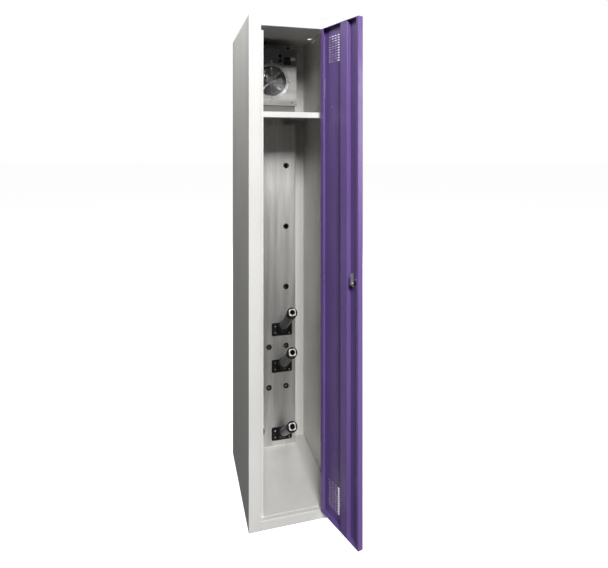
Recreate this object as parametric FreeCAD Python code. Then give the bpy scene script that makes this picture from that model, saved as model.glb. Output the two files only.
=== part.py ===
import FreeCAD, Part
import math
import os

# A one-door drying locker in folded sheet steel. A heated blower box stands on the shelf and feeds a flat
# stainless plenum on the back wall, whose outlets and four nozzles dry clothes, gloves and boots.
# Millimetres. X runs to the right, Y into the locker, Z up. The origin is on the ground, in the middle of
# the sill's foot flange. The door is stored open, turned about its hinge pins by door_open degrees.

V = FreeCAD.Vector

# Carcass
width = 320.0
depth = 500.0
height = 1800.0
sheet = 1.2
bend = 1.2  # inside radius of a fold
stile_face = 43.5
rail_face = 34.5
stop_gap = 1.0  # behind the shut door
stop_lap = 11.0  # door stop beyond the edge of the opening
stop_drop = 12.0  # door stop starts this far below the head
foot_flange = 20.0
rail_return = 45.0  # head and sill, measured back from the front face
rear_flange = 15.0
tray_flange = 15.0
wall_hole_spacing = 220.0
wall_hole_radius = 4.5
wall_hole_drop = 25.0  # below the top

# Shelf
shelf_drop = 333.0  # below the top
shelf_lip = 21.0
shelf_hem = 9.0
shelf_clearance = 0.5
clip_width = 20.0
clip_drop = 18.0
clip_ledge = 12.0
clip_sheet = 2.0

# Roof fittings
vent_radius = 25.0
vent_cap_radius = 29.0
vent_inset = 122.0  # vent axis from the left side
vent_from_front = 367.0
cable_radius = 10.0
cable_inset = 19.0  # cable hole axis from the right side
cable_from_front = 321.0
grommet_groove = 2.0  # rubber outside the hole's radius
fit_gap = 0.1  # parts seated in a hole

# Hinges
pin_radius = 2.0
pin_clearance = 0.05
pin_tail = 1.0  # below the lowest knuckle
pin_head = 1.6
pin_head_gap = 0.3
knuckle_radius = 3.5
knuckle_gap = 0.4  # between knuckles, along the pin
notch_clearance = 0.6
pin_proud = 1.0  # pin axis in front of the front face
leaf_sheet = 1.0
leaf_depth = 17.0
hinge_length = 70.0
hinge_from_end = 250.0
door_open = 106.3

# Door
door_gap = 2.5
door_depth = 19.0
hinge_lip = 19.0
lock_lip = 11.0
edge_radius = 1.8
stiffener_start = 122.0  # from the hinge edge
stiffener_width = 41.5
stiffener_hem = 7.0
vent_columns = 5
vent_rows = 11
vent_slot_length = 13.0
vent_slot_tall = 3.8
vent_start = 33.0  # middle of the first column, from the hinge edge
vent_column_pitch = 18.5
vent_row_pitch = 8.8
vent_margin = 33.0  # first row, from the door's end
buffer_radius = 4.0
buffer_gap = 0.3
buffer_heights = (500.0, 1300.0)
plate_width = 90.0
plate_tall = 36.0
plate_sheet = 1.0
plate_drop = 318.0  # below the top
plate_start = 37.5  # from the hinge edge
rivet_radius = 1.6
rivet_inset = 10.0

# Cam lock
lock_inset = 26.0  # lock axis from the free edge
lock_height = 895.0
barrel_radius = 9.5
plug_radius = 6.5
plug_clearance = 0.05
bezel_radius = 12.0
bezel_thick = 2.5
nut_across = 25.0
nut_thick = 5.0
cam_length = 34.0
cam_width = 15.0
cam_thick = 3.0
cam_gap = 1.2  # behind the door stop
cam_screw_radius = 4.0
cam_screw_thick = 2.8
keyway_width = 2.2

# Plenum
plenum_width = 236.0
plenum_offset = -10.0  # plenum centre from the locker's middle
plenum_thick = 57.0  # front face to the back wall
plenum_flange = 13.0
plenum_top_gap = 6.0  # below the shelf's lip
outlet_radius = 10.0
outlet_pitch = 76.0
low_outlet_heights = (292.0, 469.0)  # rows of three
high_outlet_drops = (711.0, 446.0, 179.0)  # rows of two, below the plenum's top
bush_flange_radius = 12.0
bush_flange = 1.6
bush_bore = 7.0
screw_radius = 3.0
screw_head = 1.6
screw_shank = 1.4

# Nozzles
nozzle_spread = 57.0  # nozzle axis from the plenum's centre line
glove_heights = (384.0, 544.0)
boot_height = 87.0
left_boot_spread = 76.0
nozzle_tilt = 32.7
nozzle_length = 252.0  # along the axis, from the plenum's face
nozzle_radius = 18.5
nozzle_wall = 2.0
flange_width = 90.0
flange_tall = 56.0
flange_thick = 3.5
flange_corner = 6.0
socket_wall = 3.5
socket_length = 62.0
collar_wall = 2.5
collar_length = 24.0
collar_end = 2.0  # wall across the collar's mouth
mouth_across = 27.0
mouth_corner = 7.0
mouth_thick = 5.0
mouth_bore = 8.5

# Blower box
box_offset = -17.0  # box centre from the locker's middle
box_width = 217.0
box_tall = 240.0
box_front = 350.0  # from the locker's front face
box_deep = 144.0
box_sheet = 1.2
box_corner = 2.0
plinth_inset = 6.0
plinth_gap = 50.0  # shelf to the bottom of the box
fan_height = 102.0  # fan axis above the box's bottom
fan_hole = 64.0
control_tall = 74.0
control_sheet = 1.0
housing_radius = 70.0
housing_bore = 61.0
housing_deep = 40.0
blade_count = 7
blade_tip = 57.5
blade_root = 20.0
blade_chord = 26.0
blade_thick = 2.0
blade_pitch = 35.0
hub_radius = 22.0
hub_deep = 22.0
shaft_radius = 3.0
shaft_clearance = 0.05
motor_radius = 25.0
motor_deep = 30.0
guard_rings = 9
guard_outer = 72.0
guard_inner = 9.0
guard_wire = 1.3
guard_tab_radius = 82.0
heater_width = 120.0
heater_tall = 120.0
heater_deep = 28.0
heater_fins = 14
fin_thick = 1.2
duct_width = 130.0
duct_deep = 34.0
duct_wall = 1.2

# Controls on the box, from its right edge and bottom
switch_x = 40.3
switch_z = 188.0
switch_width = 28.0
switch_tall = 30.0
switch_proud = 2.0
rocker_width = 10.2
rocker_radius = 11.5
rocker_gap = 0.3
rocker_pin = 1.2
rocker_tilt = 10.0
button_x = 71.0
button_heights = (188.5, 209.0)
button_radius = 4.5
button_collar = 7.0
button_clearance = 0.1
button_travel = 2.0
button_proud = 1.6
label_x = 15.0
label_z = 197.0
label_width = 21.0
label_tall = 12.0
label_thick = 0.6
gland_x = 24.0
gland_back = 60.0
gland_radius = 8.0
gland_bore = 4.0

# Places worked out from the sizes above
left = -width / 2
right = width / 2
front = -foot_flange / 2
back = front + depth
half = sheet / 2
reveal = door_depth + stop_gap
open_left = left + stile_face
open_right = right - stile_face
open_bottom = rail_face
open_top = height - rail_face
floor_top = open_bottom + sheet
stop_front = front + reveal
shelf_top = height - shelf_drop
shelf_bottom = shelf_top - shelf_lip
pin_x = open_right - door_gap / 2
pin_y = front - pin_proud
door_right = open_right - door_gap
door_left = open_left + door_gap
door_bottom = open_bottom + door_gap
door_top = open_top - door_gap
plate_height = height - plate_drop
lock_x = door_left + lock_inset
plenum_x = plenum_offset
plenum_face = back - sheet - plenum_thick
plenum_top = shelf_bottom - plenum_top_gap
box_x = box_offset
box_left = box_x - box_width / 2
box_right = box_x + box_width / 2
box_y = front + box_front
box_back = box_y + box_deep
box_bottom = shelf_top + plinth_gap
box_top = box_bottom + box_tall
fan_z = box_bottom + fan_height
control_face = box_y - control_sheet
duct_y = plenum_face + plenum_thick / 2 + 2 * sheet

nodes = {}
doors_own = []


def box(x0, x1, y0, y1, z0, z1):
    return Part.makeBox(x1 - x0, y1 - y0, z1 - z0, V(x0, y0, z0))


def rod(radius, start, length, way):
    return Part.makeCylinder(radius, length, V(*start), V(*way))


def rod_in(radius, x, z, y0, y1):
    """A round bar along Y, from y0 back to y1."""
    return rod(radius, (x, y0, z), y1 - y0, (0, 1, 0))


def ring_in(outer, inner, x, z, y0, y1):
    return rod_in(outer, x, z, y0, y1).cut(rod_in(inner, x, z, y0 - 1, y1 + 1))


def fused(shapes):
    shape = shapes[0]
    for other in shapes[1:]:
        shape = shape.fuse(other)
    return shape.removeSplitter()


def cut_all(shape, tools):
    for tool in tools:
        shape = shape.cut(tool)
    return shape


def section(points, thick=sheet, radius=bend):
    """The face of a folded sheet in the XY plane. Its middle line passes the points, with rounded folds."""
    spots = [V(x, y, 0) for x, y in points]
    ways = [(b - a).normalize() for a, b in zip(spots, spots[1:])]
    sides = [V(-w.y, w.x, 0) for w in ways]
    middle = radius + thick / 2

    def skin(offset):
        edges = []
        here = spots[0] + sides[0] * offset
        for i in range(1, len(spots) - 1):
            turn = sides[i - 1].dot(ways[i])  # positive where the fold turns left
            sign = 1 if turn > 0 else -1
            angle = math.acos(max(-1.0, min(1.0, ways[i - 1].dot(ways[i]))))
            setback = middle * math.tan(angle / 2)
            centre = spots[i] - ways[i - 1] * setback + sides[i - 1] * (sign * middle)
            outward = (spots[i] - centre).normalize()
            start = spots[i] - ways[i - 1] * setback + sides[i - 1] * offset
            end = spots[i] + ways[i] * setback + sides[i] * offset
            edges.append((here, None, start))
            edges.append((start, centre + outward * (middle - sign * offset), end))
            here = end
        edges.append((here, None, spots[-1] + sides[-1] * offset))
        return edges

    outer, inner = skin(thick / 2), skin(-thick / 2)
    runs = outer + [(outer[-1][2], None, inner[-1][2])]
    runs += [(end, mid, start) for start, mid, end in reversed(inner)]
    runs.append((inner[0][0], None, outer[0][0]))
    edges = []
    for start, mid, end in runs:
        if mid is None:
            edges.append(Part.LineSegment(start, end).toShape())
        else:
            edges.append(Part.Arc(start, mid, end).toShape())
    return Part.Face(Part.Wire(edges))


def upright(face, z0, z1):
    """A plan section raised from z0 to z1."""
    solid = face.extrude(V(0, 0, z1 - z0))
    solid.translate(V(0, 0, z0))
    return solid


def across(face, x0, x1):
    """A side section, drawn as (y, z), carried from x0 to x1."""
    solid = face.extrude(V(0, 0, x1 - x0))
    solid.rotate(V(0, 0, 0), V(1, 1, 1), 120)
    solid.translate(V(x0, 0, 0))
    return solid


def inward(face, y0, y1):
    """A front section, drawn as (x, z), carried from y0 back to y1."""
    solid = face.extrude(V(0, 0, y1 - y0))
    solid.rotate(V(0, 0, 0), V(1, 0, 0), 90)
    solid.translate(V(0, y1, 0))
    return solid


def rounded_plate(x, z, wide, tall, y0, y1, corner):
    plate = box(x - wide / 2, x + wide / 2, y0, y1, z - tall / 2, z + tall / 2)
    along = [e for e in plate.Edges if abs(e.tangentAt(e.FirstParameter).y) > 0.9]
    return plate.makeFillet(corner, along)


def screw(x, z, face_y, length, radius=screw_radius, shank=screw_shank, head=screw_head):
    """A pan head screw driven towards +Y, its head standing in front of face_y, with a cross recess."""
    top = rod_in(radius, x, z, face_y - head, face_y)
    top = top.makeFillet(head * 0.6, [e for e in top.Edges if e.Vertexes[0].Point.y < face_y - head / 2])
    slot = 0.3 * radius
    for tall, wide in ((radius * 0.6, slot / 2), (slot / 2, radius * 0.6)):
        top = top.cut(box(x - wide, x + wide, face_y - head - 1, face_y - head * 0.5, z - tall, z + tall))
    return top.fuse(rod_in(shank, x, z, face_y, face_y + length)).removeSplitter()


def keep(name, shape, on_door=False):
    nodes[name] = shape
    if on_door:
        doors_own.append(name)


def hinge_spans():
    for z in (hinge_from_end, height / 2, height - hinge_from_end):
        yield z - hinge_length / 2, z + hinge_length / 2


def hinge_notches():
    """Round notches that let the knuckles turn in the stile and in the door's edge."""
    radius = knuckle_radius + notch_clearance
    notches = []
    for low, high in hinge_spans():
        start = low - pin_tail - notch_clearance
        end = high + pin_head_gap + pin_head + notch_clearance
        notches.append(rod(radius, (pin_x, pin_y, start), end - start, (0, 0, 1)))
    return notches


def side_panel(side):
    """Side wall, stile and door stop, folded from one sheet. side is -1 on the left and 1 on the right."""
    outer = side * (width / 2 - half)
    edge = side * (width / 2 - stile_face)
    rear = back - sheet - half
    points = [
        (side * (width / 2 - rear_flange), rear),
        (outer, rear),
        (outer, front + half),
        (edge + side * half, front + half),
        (edge + side * half, stop_front + half),
        (edge - side * stop_lap, stop_front + half),
    ]
    panel = upright(section(points), 0, height)
    inner = sorted((edge - side * (stop_lap + 1), edge))
    panel = panel.cut(box(*inner, stop_front - 1, stop_front + 2 * sheet, open_top - stop_drop, height + 1))
    return panel.cut(box(*inner, stop_front - 1, stop_front + 2 * sheet, -1, floor_top))


def rear_corners():
    """Corner reliefs that let the roof and floor trays pass in front of the side walls' rear flanges."""
    reach = width / 2 - rear_flange
    return [box(*sorted((side * reach, side * width)), back - 2 * sheet, back + 1, -1, height + 1) for side in (-1, 1)]


def carcass():
    left_side = side_panel(-1)
    right_side = cut_all(side_panel(1), hinge_notches())
    keep("left_side_panel", left_side)
    keep("right_side_panel", right_side)

    rear = box(left, right, back - sheet, back, 0, height)
    for x in (-wall_hole_spacing / 2, wall_hole_spacing / 2):
        rear = rear.cut(rod_in(wall_hole_radius, x, height - wall_hole_drop, back - 2 * sheet, back + 1))
    keep("back_panel", rear)

    tray_x = width / 2 - sheet - half
    roof_points = [
        (-tray_x, height - tray_flange),
        (-tray_x, height - half),
        (tray_x, height - half),
        (tray_x, height - tray_flange),
    ]
    roof = cut_all(inward(section(roof_points), front + sheet, back - sheet), rear_corners())
    roof = cut_all(roof, [left_side, right_side])
    for inset, along, radius in (
        (vent_inset, vent_from_front, vent_radius),
        (width - cable_inset, cable_from_front, cable_radius + grommet_groove),
    ):
        hole = rod(radius, (left + inset, front + along, height - 2 * sheet), 3 * sheet, (0, 0, 1))
        roof = roof.cut(hole)
    keep("roof_panel", roof)

    floor_points = [
        (-tray_x, open_bottom - tray_flange),
        (-tray_x, open_bottom + half),
        (tray_x, open_bottom + half),
        (tray_x, open_bottom - tray_flange),
    ]
    floor = cut_all(inward(section(floor_points), stop_front, back - sheet), rear_corners())
    keep("floor_panel", cut_all(floor, [left_side, right_side]))

    head_points = [
        (front + half, height),
        (front + half, open_top + half),
        (front + rail_return, open_top + half),
        (front + rail_return, open_top + tray_flange),
    ]
    keep("head_rail", across(section(head_points), open_left, open_right))
    sill_points = [
        (front + foot_flange, half),
        (front + half, half),
        (front + half, open_bottom - half),
        (front + rail_return, open_bottom - half),
    ]
    keep("sill_rail", across(section(sill_points), open_left, open_right))


def duct_block(grow, longer=0):
    """The duct's outside, grown all round, from inside the plenum to inside the box."""
    x0, x1 = plenum_x - duct_width / 2 - grow, plenum_x + duct_width / 2 + grow
    y0, y1 = duct_y - duct_deep / 2 - grow, duct_y + duct_deep / 2 + grow
    return box(x0, x1, y0, y1, plenum_top - 3 * sheet - longer, box_bottom + 2 * box_sheet + longer)


def shelf_and_clips():
    shelf_front = stop_front + 2 * sheet
    shelf_rear = back - 2 * sheet - shelf_clearance
    points = [
        (shelf_front + shelf_hem, shelf_bottom + half),
        (shelf_front + half, shelf_bottom + half),
        (shelf_front + half, shelf_top - half),
        (shelf_rear - half, shelf_top - half),
        (shelf_rear - half, shelf_bottom + half),
    ]
    reach = width / 2 - sheet - shelf_clearance
    shelf = across(section(points), -reach, reach)
    keep("shelf", shelf.cut(duct_block(shelf_clearance)))

    clips = []
    ledge_top = shelf_top - sheet
    for side in (-1, 1):
        wall = side * (width / 2 - sheet)
        for y in (front + 70, back - 80):
            arm = sorted((wall, wall - side * clip_sheet))
            ledge = sorted((wall, wall - side * clip_ledge))
            leg = box(*arm, y, y + clip_width, ledge_top - clip_drop, ledge_top)
            clips.append(leg.fuse(box(*ledge, y, y + clip_width, ledge_top - clip_sheet, ledge_top)))
    keep("shelf_clips", Part.makeCompound([clip.removeSplitter() for clip in clips]))


def roof_fittings():
    x, y = left + vent_inset, front + vent_from_front
    cap = Part.makeCylinder(vent_cap_radius, 3, V(x, y, height))
    cap = cap.makeFillet(1.2, [e for e in cap.Edges if e.Vertexes[0].Point.z > height + 2])
    plug = Part.makeCylinder(vent_radius - fit_gap, 4 * sheet, V(x, y, height - 4 * sheet))
    hollow = Part.makeCylinder(vent_radius - 2, 4 * sheet, V(x, y, height - 4 * sheet - 1))
    keep("roof_vent_cap", cap.fuse(plug.cut(hollow)).removeSplitter())

    x, y = right - cable_inset, front + cable_from_front
    hole = cable_radius + grommet_groove
    profile = [
        (cable_radius, height - sheet - 2),
        (hole + 2, height - sheet - 2),
        (hole + 2, height - sheet),
        (hole - fit_gap, height - sheet),
        (hole - fit_gap, height),
        (hole + 2, height),
        (hole + 2, height + 2),
        (cable_radius, height + 2),
    ]
    wire = Part.makePolygon([V(r, 0, z) for r, z in profile + profile[:1]])
    grommet = Part.Face(wire).revolve(V(0, 0, 0), V(0, 0, 1), 360)
    grommet.translate(V(x, y, 0))
    keep("cable_grommet", grommet)


def hinge_leaf(side, low, high):
    """One leaf with its knuckles. side 1 is the stile's leaf with three knuckles, -1 the door's with two."""
    outer = pin_x + side * door_gap / 2
    spread = sorted((outer, outer - side * leaf_sheet))
    pitch = (high - low + knuckle_gap) / 5
    leaf = box(*spread, front + 1, front + 1 + leaf_depth, low, high)
    leaf = leaf.cut(rod(knuckle_radius + notch_clearance, (pin_x, pin_y, low - 1), high - low + 2, (0, 0, 1)))
    for i in range(0 if side > 0 else 1, 5, 2):
        z = low + i * pitch
        tall = pitch - knuckle_gap
        knuckle = rod(knuckle_radius, (pin_x, pin_y, z), tall, (0, 0, 1))
        link = box(*spread, pin_y, front + knuckle_radius + 2, z, z + tall)
        leaf = leaf.fuse(knuckle.fuse(link))
    bore = pin_radius if side > 0 else pin_radius + pin_clearance
    return leaf.cut(rod(bore, (pin_x, pin_y, low - 1), high - low + 2, (0, 0, 1))).removeSplitter()


def hinges():
    spans = list(hinge_spans())
    keep("hinge_frame_leaves", Part.makeCompound([hinge_leaf(1, *span) for span in spans]))
    keep("hinge_door_leaves", Part.makeCompound([hinge_leaf(-1, *span) for span in spans]), True)
    pins = []
    for low, high in spans:
        top = high + pin_head_gap
        pin = rod(pin_radius, (pin_x, pin_y, low - pin_tail), top - low + pin_tail, (0, 0, 1))
        head = rod(pin_radius + 1.2, (pin_x, pin_y, top), pin_head, (0, 0, 1))
        head = head.makeFillet(0.8, [e for e in head.Edges if e.Vertexes[0].Point.z > top + pin_head / 2])
        pins.append(pin.fuse(head).removeSplitter())
    keep("hinge_pins", Part.makeCompound(pins))


def at_hinge(distance):
    """The X of a point on the closed door, from its distance to the hinge edge."""
    return door_right - distance


def door_shell():
    inner = front + sheet
    rear = front + door_depth
    pan = box(door_left, door_right, front, rear, door_bottom, door_top)
    long_edges = [e for e in pan.Edges if e.Length > reveal and e.BoundBox.YMax < inner]
    pan = pan.makeFillet(edge_radius, long_edges)
    room = (door_left + sheet, door_right - sheet, door_bottom + sheet, door_top - sheet)
    pan = pan.cut(box(room[0], room[1], inner, rear - sheet, room[2], room[3]))
    mouth_left, mouth_right = door_left + lock_lip, door_right - hinge_lip
    pan = pan.cut(box(mouth_left, mouth_right, rear - 2 * sheet, rear + 1, room[2], room[3]))

    end = vent_slot_tall / 2
    reach = vent_slot_length / 2 - end
    vent_slot = fused([
        box(-reach, reach, front - 1, inner + 1, -end, end),
        rod_in(end, -reach, 0, front - 1, inner + 1),
        rod_in(end, reach, 0, front - 1, inner + 1),
    ])
    holes = []
    for column in range(vent_columns):
        x = at_hinge(vent_start + column * vent_column_pitch)
        for row in range(vent_rows):
            step = vent_margin + row * vent_row_pitch
            for z in (door_top - step, door_bottom + step):
                holes.append(vent_slot.translated(V(x, 0, z)))
    for x in rivet_places():
        holes.append(rod_in(rivet_radius, x, plate_height, front - 1, inner + 1))
    holes.append(rod_in(barrel_radius + fit_gap, lock_x, lock_height, front - 1, inner + 1))
    pan = pan.cut(Part.makeCompound(holes))
    keep("door_pan", cut_all(pan, hinge_notches()), True)

    rear_skin = rear - 2 * sheet
    start, end = at_hinge(stiffener_start), at_hinge(stiffener_start + stiffener_width)
    points = [
        (start - stiffener_hem, inner + half),
        (start - half, inner + half),
        (start - half, rear_skin + half),
        (end + half, rear_skin + half),
        (end + half, inner + half),
        (end + stiffener_hem, inner + half),
    ]
    keep("door_stiffener", upright(section(points), door_bottom + sheet, door_top - sheet), True)


def rivet_places():
    start = at_hinge(plate_start + rivet_inset)
    return start, start - plate_width + 2 * rivet_inset


def number_plate():
    x = at_hinge(plate_start + plate_width / 2)
    plate = rounded_plate(x, plate_height, plate_width, plate_tall, front - plate_sheet, front, 4)
    frame = rounded_plate(x, plate_height, plate_width - 6, plate_tall - 6, front - 2, front - plate_sheet * 0.6, 3)
    plate = plate.cut(frame)
    rivets = []
    for place in rivet_places():
        plate = plate.cut(rod_in(rivet_radius, place, plate_height, front - 3, front + 1))
        outer = rod_in(rivet_radius * 2, place, plate_height, front - plate_sheet * 0.6 - 1, front - plate_sheet * 0.6)
        shank = rod_in(rivet_radius, place, plate_height, front - plate_sheet, front + sheet + 0.2)
        inner = rod_in(rivet_radius * 1.8, place, plate_height, front + sheet, front + sheet + 1.4)
        rivets.append(fused([outer, shank, inner]))
    keep("number_plate", plate, True)
    keep("plate_rivets", Part.makeCompound(rivets), True)


def buffers():
    x = open_left + stop_lap / 2
    pads = [
        rod_in(min(buffer_radius, stop_lap / 2), x, z, front + door_depth + buffer_gap, stop_front)
        for z in buffer_heights
    ]
    keep("door_buffers", Part.makeCompound(pads))


def cam_lock():
    cam_y = stop_front + sheet + cam_gap
    tail = cam_y - 0.4
    housing = rod_in(barrel_radius, lock_x, lock_height, front, tail)
    bezel = rod_in(bezel_radius, lock_x, lock_height, front - bezel_thick, front)
    bezel = bezel.makeFillet(1.2, [e for e in bezel.Edges if e.Vertexes[0].Point.y < front - 1])
    bore = rod_in(plug_radius + plug_clearance, lock_x, lock_height, front - bezel_thick - 1, tail + 1)
    keep("lock_housing", housing.fuse(bezel).removeSplitter().cut(bore), True)

    corner = nut_across / 2 / math.cos(math.radians(30))
    corners = [
        V(lock_x + corner * math.sin(math.radians(60 * i)), front + sheet, lock_height
          + corner * math.cos(math.radians(60 * i)))
        for i in range(7)
    ]
    nut = Part.Face(Part.makePolygon(corners)).extrude(V(0, nut_thick, 0))
    nut = nut.cut(rod_in(barrel_radius, lock_x, lock_height, front, front + 2 * nut_thick))
    keep("lock_nut", nut, True)

    plug = rod_in(plug_radius, lock_x, lock_height, front - bezel_thick, cam_y)
    square = plug_radius * 0.62
    stub = box(lock_x - square, lock_x + square, cam_y, cam_y + cam_thick,
               lock_height - square, lock_height + square)
    keyway = box(lock_x - keyway_width / 2, lock_x + keyway_width / 2, front - bezel_thick - 1,
                 front + 14, lock_height - 4.1, lock_height + 4.1)
    keep("lock_plug", plug.fuse(stub).cut(keyway), True)

    cam = box(lock_x - cam_width / 2, lock_x + cam_width / 2, cam_y, cam_y + cam_thick,
              lock_height - cam_width / 2, lock_height + cam_length)
    cam = cam.makeFillet(cam_width * 0.35, [e for e in cam.Edges if abs(e.tangentAt(0).y) > 0.9])
    cam = cam.cut(box(lock_x - square, lock_x + square, cam_y - 1, cam_y + cam_thick + 1,
                      lock_height - square, lock_height + square))
    keep("lock_cam", cam, True)

    head_y = cam_y + cam_thick
    head = rod_in(cam_screw_radius + 2, lock_x, lock_height, head_y, head_y + cam_screw_thick)
    head = head.makeFillet(1, [e for e in head.Edges if e.Vertexes[0].Point.y > head_y + 1])
    head = head.cut(box(lock_x - cam_screw_radius, lock_x + cam_screw_radius, head_y + cam_screw_thick - 1,
                        head_y + cam_screw_thick + 1, lock_height - 0.6, lock_height + 0.6))
    keep("cam_screw", head, True)


def outlet_places():
    rows = [(z, (-1, 0, 1)) for z in low_outlet_heights]
    rows += [(plenum_top - drop, (-1, 1)) for drop in high_outlet_drops]
    for z, columns in rows:
        for column in columns:
            yield plenum_x + column * outlet_pitch, z


def nozzle_places():
    for z in glove_heights:
        yield plenum_x + nozzle_spread, z
    yield plenum_x - left_boot_spread, boot_height
    yield plenum_x + nozzle_spread, boot_height


def flange_screw_places(x, z):
    for across_by, up_by in ((-30, 14), (-30, -14), (33, -19)):
        yield x + across_by, z + up_by


def plenum():
    side = plenum_width / 2 - half
    wall = back - sheet - half
    points = [
        (plenum_x - side - plenum_flange, wall),
        (plenum_x - side, wall),
        (plenum_x - side, plenum_face + half),
        (plenum_x + side, plenum_face + half),
        (plenum_x + side, wall),
        (plenum_x + side + plenum_flange, wall),
    ]
    cover = upright(section(points), floor_top, plenum_top)
    lid = box(plenum_x - side, plenum_x + side, plenum_face + half, wall + half, plenum_top - sheet, plenum_top)
    cover = cover.fuse(lid).removeSplitter().cut(duct_block(0))
    holes = [rod_in(outlet_radius, x, z, plenum_face - 1, plenum_face + 3) for x, z in outlet_places()]
    for x, z in nozzle_places():
        holes.append(rod_in(nozzle_radius - nozzle_wall, x, z, plenum_face - 1, plenum_face + 3))
        holes += [rod_in(screw_shank, *place, plenum_face - 1, plenum_face + 3)
                  for place in flange_screw_places(x, z)]
    places = plenum_screw_places()
    holes += [rod_in(screw_shank, x, z, back - 3 * sheet, back) for x, z in places]
    keep("plenum_cover", cover.cut(Part.makeCompound(holes)))
    flange_face = back - 2 * sheet
    keep("plenum_screws", Part.makeCompound([screw(x, z, flange_face, sheet) for x, z in places]))

    bushes = []
    for x, z in outlet_places():
        rim = rod_in(bush_flange_radius, x, z, plenum_face - bush_flange, plenum_face)
        rim = rim.makeFillet(bush_flange * 0.6, [rim.Edges[i] for i in front_edges(rim)])
        barrel = rod_in(outlet_radius - fit_gap, x, z, plenum_face, plenum_face + 4 * sheet)
        bore = rod_in(bush_bore, x, z, plenum_face - 2 * bush_flange, plenum_face + 6 * sheet)
        bushes.append(rim.fuse(barrel).removeSplitter().cut(bore))
    keep("outlet_bushes", Part.makeCompound(bushes))


def plenum_screw_places():
    away = plenum_width / 2 + plenum_flange / 2
    span = plenum_top - floor_top
    return [
        (plenum_x + side * away, floor_top + span * share)
        for side in (-1, 1)
        for share in (0.04, 0.35, 0.65, 0.96)
    ]


def front_edges(shape):
    low = shape.BoundBox.YMin + 1e-6
    return [i for i, e in enumerate(shape.Edges) if e.BoundBox.YMax < low + 1e-3]


def nozzles():
    tilt = math.radians(nozzle_tilt)
    way = V(0, -math.cos(tilt), math.sin(tilt))
    flanges, tubes, collars, mouths, screws = [], [], [], [], []
    face = plenum_face - flange_thick
    for x, z in nozzle_places():
        root = V(x, plenum_face, z)

        def tube(radius, start, length):
            return Part.makeCylinder(radius, length, root + way * start, way)

        bore = nozzle_radius + fit_gap
        plate = rounded_plate(x, z, flange_width, flange_tall, face, plenum_face, flange_corner)
        keep_front = box(x - 60, x + 60, plenum_face - 2 * nozzle_length, plenum_face, z - 200, z + 300)
        socket = tube(nozzle_radius + socket_wall, -60, 60 + socket_length).common(keep_front)
        flange = plate.fuse(socket).removeSplitter().cut(tube(bore, -60, 60 + 2 * nozzle_length))
        screw_spots = list(flange_screw_places(x, z))
        flange = cut_all(flange, [rod_in(screw_shank, *spot, face - 1, plenum_face + 1) for spot in screw_spots])
        flanges.append(flange)
        screws += [screw(*spot, face, flange_thick + 2 * sheet) for spot in screw_spots]

        pipe_end = nozzle_length - mouth_thick - collar_end
        pipe = tube(nozzle_radius, -60, 60 + pipe_end)
        pipe = pipe.cut(tube(nozzle_radius - nozzle_wall, -61, 62 + pipe_end)).common(keep_front)
        tubes.append(pipe)
        collar = tube(nozzle_radius + collar_wall, nozzle_length - collar_length, collar_length - mouth_thick)
        collar = collar.cut(tube(bore, pipe_end - collar_length, collar_length))
        collars.append(collar.cut(tube(mouth_bore, pipe_end - 1, collar_length)))
        mouths.append(nozzle_mouth(root + way * (nozzle_length - mouth_thick), way))
    keep("nozzle_flanges", Part.makeCompound(flanges))
    keep("nozzle_tubes", Part.makeCompound(tubes))
    keep("nozzle_collars", Part.makeCompound(collars))
    keep("nozzle_mouths", Part.makeCompound(mouths))
    keep("nozzle_screws", Part.makeCompound(screws))


def nozzle_mouth(spot, way):
    """The pale end ring, a soft-cornered square outside a round bore, on the collar's end."""
    reach = mouth_across / 2
    block = Part.makeBox(mouth_across, mouth_across, mouth_thick, V(-reach, -reach, 0))
    block = block.makeFillet(mouth_corner, [e for e in block.Edges if e.Length < mouth_across - 1])
    rim = [e for e in block.Edges if e.BoundBox.ZMin > mouth_thick - 1e-3]
    block = block.makeChamfer(1.2, rim)
    ring = block.cut(Part.makeCylinder(mouth_bore, 3 * mouth_thick, V(0, 0, -1)))
    ring.Placement = FreeCAD.Placement(spot, FreeCAD.Rotation(V(0, 0, 1), way))
    return ring


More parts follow.
